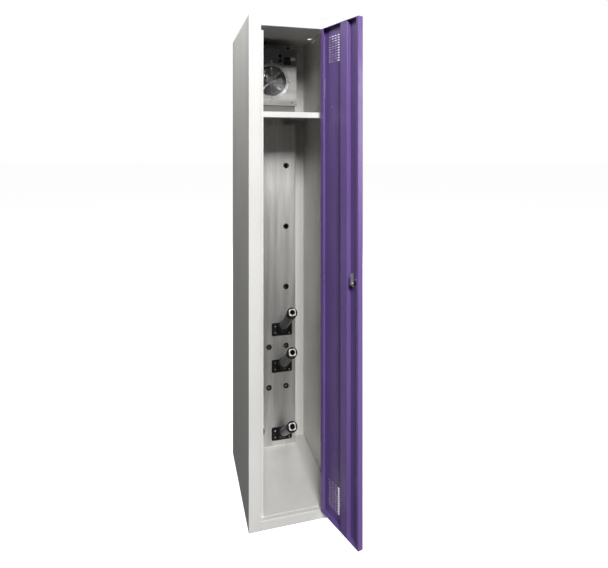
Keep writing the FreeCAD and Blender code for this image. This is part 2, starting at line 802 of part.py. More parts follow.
def blower_box():
    inner = box_y + box_sheet
    shell = box(box_left, box_right, inner, box_back, box_bottom, box_top)
    corners = [e for e in shell.Edges if abs(e.tangentAt(0).z) > 0.9 and e.BoundBox.YMin > box_back - 1]
    shell = shell.makeFillet(box_corner, corners)
    t = box_sheet
    shell = shell.cut(box(box_left + t, box_right - t, inner - 1, box_back - t, box_bottom + t, box_top - t))
    gland = rod(gland_radius, (box_right - gland_x, box_y + gland_back, box_top - 2 * t), 3 * t, (0, 0, 1))
    keep("box_shell", cut_all(shell, [gland, duct_block(0)]))

    face = box(box_left, box_right, box_y, inner, box_bottom, box_top)
    cuts = [rod_in(fan_hole, box_x, fan_z, box_y - 1, inner + 1), switch_block(fit_gap)]
    cuts += [rod_in(button_collar - 1 + fit_gap, button_place(), z, box_y - 2, inner + 1) for z in button_levels()]
    corner_places = box_screw_places()
    cuts += [rod_in(screw_shank, x, z, box_y - 1, inner + 1) for x, z in corner_places]
    cuts += [rod_in(screw_shank, x, z, box_y - 1, inner + 1) for x, z in guard_tab_places()]
    keep("box_front", face.cut(Part.makeCompound(cuts)))
    keep("box_screws", Part.makeCompound([screw(x, z, box_y, 3 * t) for x, z in corner_places]))

    panel = box(box_left, box_right, control_face, box_y, box_top - control_tall, box_top)
    panel = panel.cut(Part.makeCompound(cuts))
    panel = panel.cut(rod_in(fan_hole + guard_wire * 5, box_x, fan_z, control_face - 1, inner))
    for x, z in guard_tab_places() + corner_places:
        panel = panel.cut(rod_in(2 * screw_radius, x, z, control_face - 1, inner))
    keep("control_panel", panel)

    inset = plinth_inset
    plinth = box(box_left + inset, box_right - inset, box_y + inset, box_back - inset, shelf_top, box_bottom)
    room = box(box_left + inset + t, box_right - inset - t, box_y + inset + t, box_back - inset - t,
               shelf_top - 1, box_bottom - t)
    keep("box_plinth", cut_all(plinth, [room, duct_block(0)]))

    keep("air_duct", duct_block(0).cut(duct_block(-duct_wall, 1)))

    gland_z = box_top
    spot = V(box_right - gland_x, box_y + gland_back, gland_z)
    body = Part.makeCylinder(gland_radius + 3, 5, spot)
    neck = Part.makeCylinder(gland_radius - fit_gap, 3 * t, spot - V(0, 0, 3 * t))
    dome = Part.makeCone(gland_radius + 2, gland_bore + 2, 12, spot + V(0, 0, 5))
    bore = Part.makeCylinder(gland_bore, 40, spot - V(0, 0, 12))
    keep("cable_gland", fused([body, neck, dome]).cut(bore))


def box_screw_places():
    return [
        (box_x + side * (box_width / 2 - 20), z)
        for side in (-1, 1)
        for z in (box_bottom + 13, box_top - 13)
    ]


def guard_tab_places():
    places = []
    for i in range(4):
        angle = math.radians(90 * i)
        places.append((box_x + guard_tab_radius * math.cos(angle), fan_z + guard_tab_radius * math.sin(angle)))
    return places


def fan_guard():
    """Wire guard: concentric rings welded to eight spokes, with four screw eyes."""
    rings_y = box_y - 5 * guard_wire
    spokes_y = rings_y + 1.4 * guard_wire
    eyes_y = spokes_y - 1.4 * guard_wire
    step = (guard_outer - guard_inner) / (guard_rings - 1)
    pieces = []
    for i in range(guard_rings):
        pieces.append(Part.makeTorus(guard_inner + i * step, guard_wire, V(box_x, rings_y, fan_z), V(0, 1, 0)))
    for i in range(8):
        turn = math.radians(45 * i)
        way = V(math.cos(turn), 0, math.sin(turn))
        reach = guard_tab_radius - 3.8 if i % 2 == 0 else guard_outer + 0.4 * guard_wire
        start = V(box_x, spokes_y, fan_z) + way * guard_inner
        pieces.append(Part.makeCylinder(guard_wire, reach - guard_inner, start, way))
    for x, z in guard_tab_places():
        pieces.append(ring_in(5.5, 2.2, x, z, eyes_y, box_y))
    keep("fan_guard", pieces[0].multiFuse(pieces[1:]))
    keep("guard_screws", Part.makeCompound(
        [screw(x, z, eyes_y, 5 * guard_wire + 2 * box_sheet) for x, z in guard_tab_places()]))


def fan():
    mount = box_y + box_sheet
    rear = mount + housing_deep
    housing = ring_in(housing_radius, housing_bore, box_x, fan_z, mount, rear)
    plate = rod_in(motor_radius + 4, box_x, fan_z, rear - 4, rear)
    arms = [
        box(box_x + motor_radius, box_x + housing_bore + 2, rear - 4, rear, fan_z - 4, fan_z + 4)
        for _ in range(3)
    ]
    for i, arm in enumerate(arms):
        arm.rotate(V(box_x, rear, fan_z), V(0, 1, 0), 30 + 120 * i)
    frame = fused([housing, plate] + arms)
    frame = frame.cut(rod_in(motor_radius, box_x, fan_z, rear - 10, rear + 10))
    keep("fan_housing", cut_all(frame, [rod_in(screw_shank, x, z, mount - 1, rear) for x, z in guard_tab_places()]))

    shaft_bore = rod_in(shaft_radius + shaft_clearance, box_x, fan_z, box_y, box_back)
    motor_y = rear - 6
    motor = rod_in(motor_radius, box_x, fan_z, motor_y, motor_y + motor_deep)
    motor = motor.makeFillet(3, [e for e in motor.Edges if e.BoundBox.YMin > motor_y + motor_deep - 1e-3])
    keep("fan_motor", motor.cut(shaft_bore))

    hub_y = mount + 6
    shaft = rod_in(shaft_radius, box_x, fan_z, hub_y + 4, motor_y + motor_deep - 3)
    keep("fan_shaft", shaft)
    hub = rod_in(hub_radius, box_x, fan_z, hub_y, hub_y + hub_deep)
    hub = hub.makeFillet(4, [e for e in hub.Edges if e.BoundBox.YMax < hub_y + 1e-3])
    pieces = [hub]
    for i in range(blade_count):
        blade = box(box_x - blade_chord / 2, box_x + blade_chord / 2, -blade_thick / 2, blade_thick / 2,
                    fan_z + blade_root, fan_z + blade_tip)
        blade.translate(V(0, hub_y + hub_deep / 2, 0))
        blade.rotate(V(box_x, hub_y + hub_deep / 2, fan_z), V(0, 0, 1), blade_pitch)
        blade.rotate(V(box_x, 0, fan_z), V(0, 1, 0), 360 * i / blade_count)
        pieces.append(blade)
    rotor = fused(pieces).cut(rod_in(shaft_radius, box_x, fan_z, hub_y + 4, hub_y + 2 * hub_deep))
    keep("fan_rotor", rotor)


def heater():
    y0 = box_back - duct_deep - heater_deep - 10
    y1 = y0 + heater_deep
    block = box(box_x - heater_width / 2, box_x + heater_width / 2, y0, y1,
                fan_z - heater_tall / 2, fan_z + heater_tall / 2)
    pitch = (heater_width - 16) / heater_fins
    slots = []
    for i in range(heater_fins):
        x = box_x - heater_width / 2 + 8 + i * pitch
        slots.append(box(x + fin_thick / 2, x + pitch - fin_thick / 2, y0 - 1, y1 + 1,
                         fan_z - heater_tall / 2 + 8, fan_z + heater_tall / 2 - 8))
    keep("heater_block", block.cut(Part.makeCompound(slots)))

    brackets = []
    for side in (-1, 1):
        wall = box_x + side * (box_width / 2 - box_sheet)
        block_side = box_x + side * heater_width / 2
        run = sorted((wall, block_side))
        foot = sorted((wall, wall - side * 1.5))
        for z in (fan_z - 40, fan_z + 30):
            arm = box(*run, y1 - 12, y1 - 10.5, z, z + 12)
            brackets.append(arm.fuse(box(*foot, y1 - 12, y1 + 6, z, z + 12)).removeSplitter())
    keep("heater_brackets", Part.makeCompound(brackets))

    x = box_x
    top = fan_z + heater_tall / 2
    disc = Part.makeCylinder(8.5, 9, V(x, (y0 + y1) / 2, top))
    tabs = [box(x + s - 3, x + s + 3, (y0 + y1) / 2 - 0.4, (y0 + y1) / 2 + 0.4, top + 9, top + 16) for s in (-4.5, 4.5)]
    keep("thermostat", disc.fuse(tabs[0]).fuse(tabs[1]))

    block_left = box_left + 12
    base = box_bottom + box_sheet
    strip = box(block_left, block_left + 48, box_y + 60, box_y + 78, base, base + 16)
    for i in range(4):
        x = block_left + 6 + 12 * i
        strip = strip.cut(rod(2.2, (x, box_y + 69, base + 9), 10, (0, 0, 1)))
        if i < 3:
            strip = strip.cut(box(x + 5.4, x + 6.6, box_y + 59, box_y + 79, base + 10, base + 17))
    keep("terminal_block", strip)


def switch_place():
    return box_right - switch_x, box_bottom + switch_z


def switch_block(grow):
    """The switch body behind the panel, with a clearance all round."""
    x, z = switch_place()
    wide, tall = switch_width / 2 - 2 + grow, switch_tall / 2 - 2 + grow
    return box(x - wide, x + wide, control_face - 1, box_y + 20, z - tall, z + tall)


def rocker_places():
    x, z = switch_place()
    wall = 1.4
    for side in (-1, 1):
        yield x + side * (rocker_width / 2 + rocker_gap + wall / 2), z


def switch():
    x, z = switch_place()
    face = control_face - switch_proud
    bezel = rounded_plate(x, z, switch_width, switch_tall, face, control_face, 2)
    body = box(x - switch_width / 2 + 2, x + switch_width / 2 - 2, control_face, box_y + 18,
               z - switch_tall / 2 + 2, z + switch_tall / 2 - 2)
    shell = bezel.fuse(body).removeSplitter()
    pivot_y = face + 1
    for place, level in rocker_places():
        reach = rocker_width / 2 + rocker_gap
        shell = shell.cut(box(place - reach, place + reach, face - 1, pivot_y + 9,
                              level - rocker_radius - rocker_gap, level + rocker_radius + rocker_gap))
        shell = shell.cut(rod(rocker_pin + 0.05, (place - reach - 0.6, pivot_y, level), 2 * reach + 1.2, (1, 0, 0)))
    keep("switch_body", shell)
    for name, (place, level) in zip(("rocker_left", "rocker_right"), rocker_places()):
        reach = rocker_width / 2
        drum = rod(rocker_radius, (place - reach, pivot_y, level), 2 * reach, (1, 0, 0))
        key_cap = drum.common(box(place - reach, place + reach, pivot_y - 3.5, pivot_y + 5,
                                  level - rocker_radius, level + rocker_radius))
        dish = rod(40, (place - reach - 1, pivot_y - 3.5 - 38.8, level), 2 * reach + 2, (1, 0, 0))
        key_cap = key_cap.cut(dish)
        pin_reach = reach + rocker_gap + 0.5
        pins = rod(rocker_pin, (place - pin_reach, pivot_y, level), 2 * pin_reach, (1, 0, 0))
        rocker = key_cap.fuse(pins).removeSplitter()
        rocker.rotate(V(place, pivot_y, level), V(1, 0, 0), rocker_tilt)
        keep(name, rocker)


def button_place():
    return box_right - button_x


def button_levels():
    return [box_bottom + z for z in button_heights]


def buttons():
    x = button_place()
    collars = []
    for name, z in zip(("lower_button", "upper_button"), button_levels()):
        rim = rod_in(button_collar, x, z, control_face - 2, control_face)
        rim = rim.makeFillet(0.8, [rim.Edges[i] for i in front_edges(rim)])
        body = rod_in(button_collar - 1, x, z, control_face, box_y + 14)
        bore = rod_in(button_radius + button_clearance, x, z, control_face - 3, box_y + 12)
        collars.append(rim.fuse(body).removeSplitter().cut(bore))
        cap = rod_in(button_radius, x, z, control_face - 2 - button_proud, box_y + 12 - button_travel - 1)
        keep(name, cap.makeFillet(0.8, [cap.Edges[i] for i in front_edges(cap)]))
    keep("button_collars", Part.makeCompound(collars))


def label():
    x, z = box_right - label_x, box_bottom + label_z
    keep("label_plate", rounded_plate(x, z, label_width, label_tall, control_face - label_thick, control_face, 1))


def export():
    os.makedirs("parts", exist_ok=True)
    for name, shape in nodes.items():
        if name in doors_own:
            shape = shape.copy()
            shape.rotate(V(pin_x, pin_y, 0), V(0, 0, 1), door_open)
        for solid in shape.Solids:
            if not solid.isValid() or solid.Volume <= 0:
                raise ValueError(f"{name} isn't a good solid")
        solids = shape.Solids
        whole = solids[0] if len(solids) == 1 else Part.makeCompound(solids)
        whole.exportStep(f"parts/{name}.step")


def main():
    carcass()
    shelf_and_clips()
    roof_fittings()
    hinges()
    door_shell()
    number_plate()
    buffers()
    cam_lock()
    plenum()
    nozzles()
    blower_box()
    fan_guard()
    fan()
    heater()
    switch()
    buttons()
    label()
    export()


main()
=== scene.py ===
import math

import bpy
from mathutils import Euler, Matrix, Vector


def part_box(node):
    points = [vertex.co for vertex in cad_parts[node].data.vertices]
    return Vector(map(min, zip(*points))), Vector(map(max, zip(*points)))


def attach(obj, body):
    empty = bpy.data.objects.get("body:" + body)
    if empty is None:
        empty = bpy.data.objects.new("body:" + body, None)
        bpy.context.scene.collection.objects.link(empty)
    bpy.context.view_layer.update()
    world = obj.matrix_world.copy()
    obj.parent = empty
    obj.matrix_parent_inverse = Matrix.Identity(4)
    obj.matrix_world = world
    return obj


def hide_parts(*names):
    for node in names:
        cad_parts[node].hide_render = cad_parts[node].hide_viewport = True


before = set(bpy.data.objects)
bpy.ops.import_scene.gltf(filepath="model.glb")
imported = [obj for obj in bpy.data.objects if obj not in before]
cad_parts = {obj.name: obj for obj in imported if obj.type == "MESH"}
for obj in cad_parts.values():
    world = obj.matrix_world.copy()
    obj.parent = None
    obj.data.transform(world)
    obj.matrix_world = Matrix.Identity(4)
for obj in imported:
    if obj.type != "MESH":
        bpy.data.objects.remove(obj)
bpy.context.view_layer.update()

bl_info = {
    "name": "Drying locker",
    "version": (1, 0, 0),
    "blender": (4, 5, 0),
    "location": "View3D > Sidebar > Drying locker",
    "description": "Finishes and fine parts of a steel drying locker with a blower box",
    "category": "Add Mesh",
}

MM = 0.001
FULL_TURN = 2 * math.pi


# Small helpers


def linear(hex_colour):
    """A linear colour with alpha from an sRGB hex value such as "#A0B0C0"."""
    parts = [int(hex_colour[i:i + 2], 16) / 255 for i in (1, 3, 5)]
    return (*(p / 12.92 if p <= 0.04045 else ((p + 0.055) / 1.055) ** 2.4 for p in parts), 1.0)


def add(tree, kind, inputs=None, **settings):
    """Adds a node. Each input is a number, a colour or another node's output, by socket name or place."""
    made = tree.nodes.new(kind)
    for name, value in settings.items():
        setattr(made, name, value)
    for name, value in (inputs or {}).items():
        if isinstance(value, bpy.types.NodeSocket):
            tree.links.new(value, made.inputs[name])
        else:
            made.inputs[name].default_value = value
    return made


def in_scene(name, data):
    """A new object, linked to the scene."""
    made = bpy.data.objects.new(name, data)
    bpy.context.scene.collection.objects.link(made)
    return made


def piece(name, mesh, body, material):
    """Puts a mesh in the scene as a piece that rides on a body."""
    made = in_scene(name, mesh)
    mesh.materials.append(material)
    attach(made, body)
    return made


def mesh_of(name, points, faces=(), smooth=True):
    mesh = bpy.data.meshes.new(name)
    mesh.from_pydata([tuple(p) for p in points], [], faces)
    mesh.validate()
    for face in mesh.polygons:
        face.use_smooth = smooth
    return mesh


def finish_nodes(material, *names):
    """Gives a finish to the frame's own parts."""
    for name in names:
        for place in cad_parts[name].material_slots:
            place.material = material


def middle(node):
    low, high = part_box(node)
    return (Vector(low) + Vector(high)) / 2


# Finishes

# Widths of the marks and grains in the finishes
SMEAR = 140 * MM
HAND_MARK = 35 * MM
HAIR_LINE = 1.6 * MM
BRUSH_BAND = 22 * MM
METAL_GRAIN = 1.2 * MM
PLASTIC_CLOUD = 18 * MM
PLASTIC_GRAIN = 0.8 * MM
# A hair line and a band are this many times longer than they are wide.
HAIR_STRETCH = 90
BAND_STRETCH = 14


def new_material(name):
    material = bpy.data.materials.new(name)
    material.use_nodes = True
    tree = material.node_tree
    tree.nodes.clear()
    shader = add(tree, "ShaderNodeBsdfPrincipled")
    add(tree, "ShaderNodeOutputMaterial", {"Surface": shader.outputs[0]})
    place = add(tree, "ShaderNodeTexCoord").outputs["Object"]
    return material, tree, shader, place


def noise(tree, place, size, stretch=(1, 1, 1), detail=2.0):
    """Noise whose grains are about size metres, longer along an axis where stretch is above 1."""
    scale = [1 / (size * s) for s in stretch]
    scaled = add(tree, "ShaderNodeMapping", {"Vector": place, "Scale": scale}).outputs[0]
    inputs = {"Vector": scaled, "Scale": 1.0, "Detail": detail}
    return add(tree, "ShaderNodeTexNoise", inputs).outputs[0]


def spread(tree, value, low, high):
    """Maps noise, which lies mostly from 0.3 to 0.7, to the range from low to high."""
    limits = {"Value": value, "From Min": 0.3, "From Max": 0.7, "To Min": low, "To Max": high}
    return add(tree, "ShaderNodeMapRange", limits).outputs[0]


def blend_colours(tree, amount, first, second):
    # A mix of colours takes its amount at input 0 and its colours at 6 and 7, and gives output 2.
    return add(tree, "ShaderNodeMix", {0: amount, 6: first, 7: second}, data_type="RGBA").outputs[2]


def set_bump(tree, shader, height, strength, depth):
    bump = add(tree, "ShaderNodeBump", {"Height": height, "Strength": strength, "Distance": depth})
    tree.links.new(bump.outputs[0], shader.inputs["Normal"])


def powder_coat(name, colour, dusty, roughness, peel):
    """Baked polyester powder on steel: satin, with a shallow orange peel and hand marks in its gloss."""
    material, tree, shader, place = new_material(name)
    smear = noise(tree, place, SMEAR, (1, 1, 2.5), 5.0)
    shade = blend_colours(tree, spread(tree, smear, 0.0, 1.0), (*colour, 1.0), linear(dusty))
    tree.links.new(shade, shader.inputs["Base Color"])
    marks = noise(tree, place, HAND_MARK, (1, 1, 1.6), 4.0)
    tree.links.new(spread(tree, marks, roughness - 0.05, roughness + 0.08), shader.inputs["Roughness"])
    # The real peel is about 1 mm across. It is drawn coarser, so that it shows.
    set_bump(tree, shader, noise(tree, place, peel), 0.12, 0.25 * MM)
    shader.inputs["IOR"].default_value = 1.5
    return material


def brushed_steel(name, colour, bright, along, roughness):
    """Stainless sheet brushed along one axis (0, 1 or 2): hair lines that run long in that direction."""
    material, tree, shader, place = new_material(name)
    stretch = [1, 1, 1]
    stretch[along] = HAIR_STRETCH
    hair = noise(tree, place, HAIR_LINE, stretch, 3.0)
    stretch[along] = BAND_STRETCH
    bands = noise(tree, place, BRUSH_BAND, stretch, 3.0)
    shade = blend_colours(tree, spread(tree, bands, 0.0, 1.0), linear(colour), linear(bright))
    tree.links.new(shade, shader.inputs["Base Color"])
    shader.inputs["Metallic"].default_value = 1.0
    shader.inputs["Anisotropic"].default_value = 0.4
    tree.links.new(spread(tree, hair, roughness - 0.06, roughness + 0.12), shader.inputs["Roughness"])
    set_bump(tree, shader, hair, 0.1, 0.05 * MM)
    return material


def bare_metal(name, colour, bright, roughness):
    """Plated, cast or turned metal with a fine cloudy surface."""
    material, tree, shader, place = new_material(name)
    cloud = noise(tree, place, METAL_GRAIN * 4, detail=4.0)
    shade = blend_colours(tree, spread(tree, cloud, 0.0, 1.0), linear(colour), linear(bright))
    tree.links.new(shade, shader.inputs["Base Color"])
    shader.inputs["Metallic"].default_value = 1.0
    tree.links.new(spread(tree, cloud, roughness - 0.06, roughness + 0.08), shader.inputs["Roughness"])
    set_bump(tree, shader, noise(tree, place, METAL_GRAIN), 0.06, 0.04 * MM)
    return material


def moulded(name, colour, faded, roughness, ior=1.53, specular=0.5):
    """Moulded plastic, film or rubber with a fine grain. Soot-filled kinds have less specular."""
    material, tree, shader, place = new_material(name)
    cloud = noise(tree, place, PLASTIC_CLOUD, detail=3.0)
    shade = blend_colours(tree, spread(tree, cloud, 0.0, 1.0), linear(colour), linear(faded))
    tree.links.new(shade, shader.inputs["Base Color"])
    tree.links.new(spread(tree, cloud, roughness - 0.04, roughness + 0.06), shader.inputs["Roughness"])
    set_bump(tree, shader, noise(tree, place, PLASTIC_GRAIN), 0.1, 0.05 * MM)
    shader.inputs["IOR"].default_value = ior
    shader.inputs["Specular IOR Level"].default_value = specular
    return material


# Geometry Nodes


def new_tree(name, sizes):
    """A node group with a geometry input and named sizes. Whole numbers become whole-number inputs."""
    tree = bpy.data.node_groups.new(name, "GeometryNodeTree")
    tree.interface.new_socket("Geometry", in_out="INPUT", socket_type="NodeSocketGeometry")
    for label, value in sizes.items():
        kind = "NodeSocketInt" if isinstance(value, int) else "NodeSocketFloat"
        tree.interface.new_socket(label, in_out="INPUT", socket_type=kind).default_value = value
    tree.interface.new_socket("Geometry", in_out="OUTPUT", socket_type="NodeSocketGeometry")
    return tree, add(tree, "NodeGroupInput").outputs


def end_tree(tree, geometry, material):
    """Ends a tree with real, smooth and painted geometry."""
    real = add(tree, "GeometryNodeRealizeInstances", {"Geometry": geometry})
    smooth = add(tree, "GeometryNodeSetShadeSmooth", {"Geometry": real.outputs[0]})
    painted = add(tree, "GeometryNodeSetMaterial", {"Geometry": smooth.outputs[0], "Material": material})
    add(tree, "NodeGroupOutput", {"Geometry": painted.outputs[0]})


def join(tree, *geometry):
    joined = add(tree, "GeometryNodeJoinGeometry")
    for part in reversed(geometry):
        tree.links.new(part, joined.inputs[0])
    return joined.outputs[0]


def calculate(tree, operation, first, second):
    return add(tree, "ShaderNodeMath", {0: first, 1: second}, operation=operation).outputs[0]


def vector(tree, x=0.0, y=0.0, z=0.0):
    return add(tree, "ShaderNodeCombineXYZ", {"X": x, "Y": y, "Z": z}).outputs[0]


def copies_round(tree, count, instance, axis="Z"):
    """Copies of an instance about the origin, evenly turned about an axis."""
    points = add(tree, "GeometryNodePoints", {"Count": count})
    step = calculate(tree, "DIVIDE", FULL_TURN, count)
    turn = calculate(tree, "MULTIPLY", add(tree, "GeometryNodeInputIndex").outputs[0], step)
    rotation = add(tree, "FunctionNodeEulerToRotation", {"Euler": vector(tree, **{axis.lower(): turn})})
    links = {"Points": points.outputs[0], "Instance": instance, "Rotation": rotation.outputs[0]}
    return add(tree, "GeometryNodeInstanceOnPoints", links).outputs[0]


def grown(name, tree, sizes, base, body):
    """Runs a tree on a base mesh, keeps the result as a plain mesh, and rides it on a body."""
    made = in_scene(name, base)
    modifier = made.modifiers.new(name, "NODES")
    modifier.node_group = tree
    inputs = (item for item in tree.interface.items_tree if item.in_out == "INPUT")
    sockets = {item.name: item.identifier for item in inputs}
    for label, value in sizes.items():
        modifier[sockets[label]] = value
    bpy.context.view_layer.update()
    ready = made.evaluated_get(bpy.context.evaluated_depsgraph_get())
    mesh = bpy.data.meshes.new_from_object(ready)
    made.modifiers.remove(modifier)
    made.data = mesh
    mesh.name = name
    if not mesh.polygons:
        raise RuntimeError(f"{name} has no faces")
    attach(made, body)
    return made


def wire(tree, curve, radius, sides=8):
    """A round wire along a curve."""
    even = add(tree, "GeometryNodeSetCurveRadius", {"Curve": curve, "Radius": 1.0})
    profile = add(tree, "GeometryNodeCurvePrimitiveCircle", {"Resolution": sides, "Radius": radius})
    links = {"Curve": even.outputs[0], "Profile Curve": profile.outputs[0], "Fill Caps": True}
    return add(tree, "GeometryNodeCurveToMesh", links).outputs[0]


# Settings


class FinishSettings(bpy.types.PropertyGroup):
    frame_paint: bpy.props.FloatVectorProperty(
        name="Frame paint", description="Colour of the carcass and shelf", subtype="COLOR", size=3,
        min=0, max=1, default=linear("#E9E8E5")[:3])
    door_paint: bpy.props.FloatVectorProperty(
        name="Door paint", description="Colour of the door", subtype="COLOR", size=3,
        min=0, max=1, default=linear("#765E9C")[:3])
    peel: bpy.props.FloatProperty(
        name="Orange peel", description="Width of one ripple in the paint", unit="LENGTH", min=0.0005,
        default=2.5 * MM)


class GuardSettings(bpy.types.PropertyGroup):
    rings: bpy.props.IntProperty(name="Rings", description="Wire rings in the guard", min=3, default=8)
    spokes: bpy.props.IntProperty(name="Spokes", description="Wires that carry the rings", min=2, default=4)
    wire: bpy.props.FloatProperty(
        name="Wire radius", description="Radius of the guard's wire", unit="LENGTH", default=0.85 * MM)
    inner: bpy.props.FloatProperty(
        name="Inner radius", description="Radius of the smallest ring", unit="LENGTH", default=9 * MM)
    outer: bpy.props.FloatProperty(
        name="Outer radius", description="Radius of the largest ring", unit="LENGTH", default=72 * MM)
    eyes: bpy.props.FloatProperty(
        name="Eye radius", description="Distance from the middle to each screw", unit="LENGTH",
        default=82 * MM)


class FanSettings(bpy.types.PropertyGroup):
    blades: bpy.props.IntProperty(name="Blades", description="Blades on the fan", min=3, default=7)
    hub: bpy.props.FloatProperty(
        name="Hub radius", description="Radius of the hub", unit="LENGTH", default=22 * MM)
    chord: bpy.props.FloatProperty(
        name="Chord", description="Width of a blade at its tip", unit="LENGTH", default=27 * MM)
    twist: bpy.props.FloatProperty(
        name="Twist", description="Turn of a blade from hub to tip", subtype="ANGLE",
        default=math.radians(16))


class NozzleSettings(bpy.types.PropertyGroup):
    ribs: bpy.props.IntProperty(
        name="Ribs", description="Grip ribs round each nozzle's end", min=6, default=20)
    tilt: bpy.props.FloatProperty(
        name="Tilt", description="Rise of the nozzles", subtype="ANGLE", default=math.radians(32.7))


class StageSettings(bpy.types.PropertyGroup):
    eye: bpy.props.FloatVectorProperty(
        name="Camera", description="Place of the camera", subtype="TRANSLATION", unit="LENGTH", size=3,
        default=(-0.4117, -1.8066, 1.3321))
    heading: bpy.props.FloatProperty(
        name="Heading", description="Turn of the camera towards the right", subtype="ANGLE",
        default=math.radians(16.27))
    lens: bpy.props.FloatProperty(name="Lens", description="Focal length in millimetres", default=30.684)
    key: bpy.props.FloatProperty(
        name="Key light", description="Power of the front light", unit="POWER", default=300.0)
    right: bpy.props.FloatProperty(
        name="Right light", description="Power of the light behind the door", unit="POWER", default=32.0)
    back: bpy.props.FloatProperty(
        name="Back light", description="Power of the light behind the locker", unit="POWER", default=110.0)
    side: bpy.props.FloatProperty(
        name="Side light", description="Power of the left light", unit="POWER", default=6.0)
    room: bpy.props.FloatProperty(
        name="Room light", description="Strength of the light all round", default=0.085)
    gleam: bpy.props.FloatProperty(
        name="Gleam", description="Brightness that bare metal mirrors", default=0.15)


SETTINGS = {
    "locker_finish": FinishSettings,
    "locker_guard": GuardSettings,
    "locker_fan": FanSettings,
    "locker_nozzles": NozzleSettings,
    "locker_stage": StageSettings,
}


# Operators


class PaintSheets(bpy.types.Operator):
    """Powder coat on the carcass, shelf and door"""
    bl_idname = "locker.paint_sheets"
    bl_label = "Paint the sheets"

    def execute(self, context):
        own = context.scene.locker_finish
        # Light grey paint: soft and even, with a broad dull highlight.
        frame_coat = powder_coat("light_grey_powder_coat", own.frame_paint, "#DFDEDA", 0.4, own.peel)
        # Violet paint from another batch: a little glossier, so the door's folds catch the light.
        door_coat = powder_coat("violet_powder_coat", own.door_paint, "#6E5695", 0.36, own.peel)
        finish_nodes(frame_coat, "left_side_panel", "right_side_panel", "back_panel", "roof_panel",
                     "floor_panel", "head_rail", "sill_rail", "shelf")
        finish_nodes(door_coat, "door_pan", "door_stiffener")
        return {"FINISHED"}


class FinishSteel(bpy.types.Operator):
    """Brushed stainless on the duct and blower box, and the darker control strip"""
    bl_idname = "locker.finish_steel"
    bl_label = "Brush the stainless parts"

    def execute(self, context):
        across, up = 0, 2
        # The duct: pale steel with upright hair lines, which draw its highlights out sideways.
        upright = brushed_steel("stainless_brushed_upright", "#CFCECB", "#EDECE9", up, 0.48)
        # The box: the same stainless as the duct with its colour painted darker as painted shade, with
        # level hair lines and a tighter gloss.
        level = brushed_steel("stainless_brushed_level", "#777674", "#969593", across, 0.4)
        # The plinth is plain mill-finish sheet, duller than the brushed faces, and painted darker than them
        # as painted shade under the box.
        plain = brushed_steel("stainless_mill_finish", "#5C5B59", "#777674", across, 0.5)
        finish_nodes(upright, "plenum_cover", "air_duct")
        finish_nodes(plain, "box_plinth")
        finish_nodes(level, "box_shell", "box_front")
        # Satin printed foil over the steel. Its dark grey is partly the foil's own print and partly painted
        # shade, so it stays dark between the reflections.
        strip = moulded("control_strip_foil", "#626265", "#727275", 0.38)
        finish_nodes(strip, "control_panel")
        return {"FINISHED"}


class FinishFittings(bpy.types.Operator):
    """Zinc, chrome, nickel, aluminium and plastic on the fittings"""
    bl_idname = "locker.finish_fittings"
    bl_label = "Finish the fittings"

    def execute(self, context):
        # Bright passivated zinc: pale blue-grey and slightly cloudy.
        zinc = bare_metal("bright_zinc_plate", "#B9BBBD", "#D2D4D6", 0.3)
        finish_nodes(zinc, "shelf_clips", "hinge_frame_leaves", "hinge_door_leaves", "hinge_pins",
                     "plenum_screws", "nozzle_screws", "guard_screws", "heater_brackets", "lock_nut",
                     "lock_cam", "cam_screw")
        # Chrome over a casting: the sharpest mirror on the locker, in soft waves.
        chrome = bare_metal("chromed_die_cast_zinc", "#C9CBCD", "#DADCDE", 0.16)
        finish_nodes(chrome, "lock_housing")
        # Chemically blackened screws: dull, with a little steel still showing.
        blackened = bare_metal("blackened_steel", "#3A3A3B", "#4C4C4D", 0.45)
        finish_nodes(blackened, "box_screws")
        # Nickel on brass: a bright face with a warm cast.
        nickel = bare_metal("nickel_plated_brass", "#BDB9AE", "#CFCBC0", 0.22)
        finish_nodes(nickel, "lock_plug")
        # Aluminium: pale, with a silky highlight.
        aluminium = bare_metal("satin_aluminium", "#C6C7C8", "#D6D7D8", 0.36)
        finish_nodes(aluminium, "number_plate", "plate_rivets", "heater_block")
        # Ground steel: a mid grey, oily shine.
        ground = bare_metal("ground_motor_steel", "#8E9092", "#A5A7A9", 0.34)
        finish_nodes(ground, "fan_motor", "fan_shaft")
        # Glass-filled nylon: deep black with a matt grain.
        nylon = moulded("black_nylon", "#0A0A0B", "#121213", 0.6, specular=0.2)
        finish_nodes(nylon, "outlet_bushes", "nozzle_flanges", "nozzle_collars", "cable_gland",
                     "fan_housing", "thermostat", "switch_body", "button_collars")
        # Extruded PVC: mid grey with a long soft highlight down each tube.
        pvc = moulded("grey_pvc_tube", "#5E5F61", "#6B6C6E", 0.35)
        finish_nodes(pvc, "nozzle_tubes")
        # ABS: a clean white with a light sheen.
        abs_plastic = moulded("white_abs", "#E8E8E4", "#DDDDD8", 0.4)
        finish_nodes(abs_plastic, "nozzle_mouths", "terminal_block")
        # Polythene: a waxy, greenish grey.
        polythene = moulded("vent_cap_polythene", "#B9BDAE", "#AEB2A2", 0.5)
        finish_nodes(polythene, "roof_vent_cap")
        # Soft polyurethane: an off-white with hardly a highlight.
        polyurethane = moulded("white_polyurethane", "#EDEDEA", "#E3E3DF", 0.45)
        finish_nodes(polyurethane, "cable_grommet", "door_buffers")
        # Polycarbonate: glossy black keys that flash where they turn to the light.
        polycarbonate = moulded("gloss_polycarbonate", "#0E0E0F", "#161617", 0.16, ior=1.585)
        finish_nodes(polycarbonate, "rocker_left", "rocker_right", "upper_button", "lower_button")
        # Printed film without print: flat white, the palest spot on the box.
        film = moulded("blank_label_film", "#F5F5F3", "#ECECEA", 0.42)
        finish_nodes(film, "label_plate")
        return {"FINISHED"}


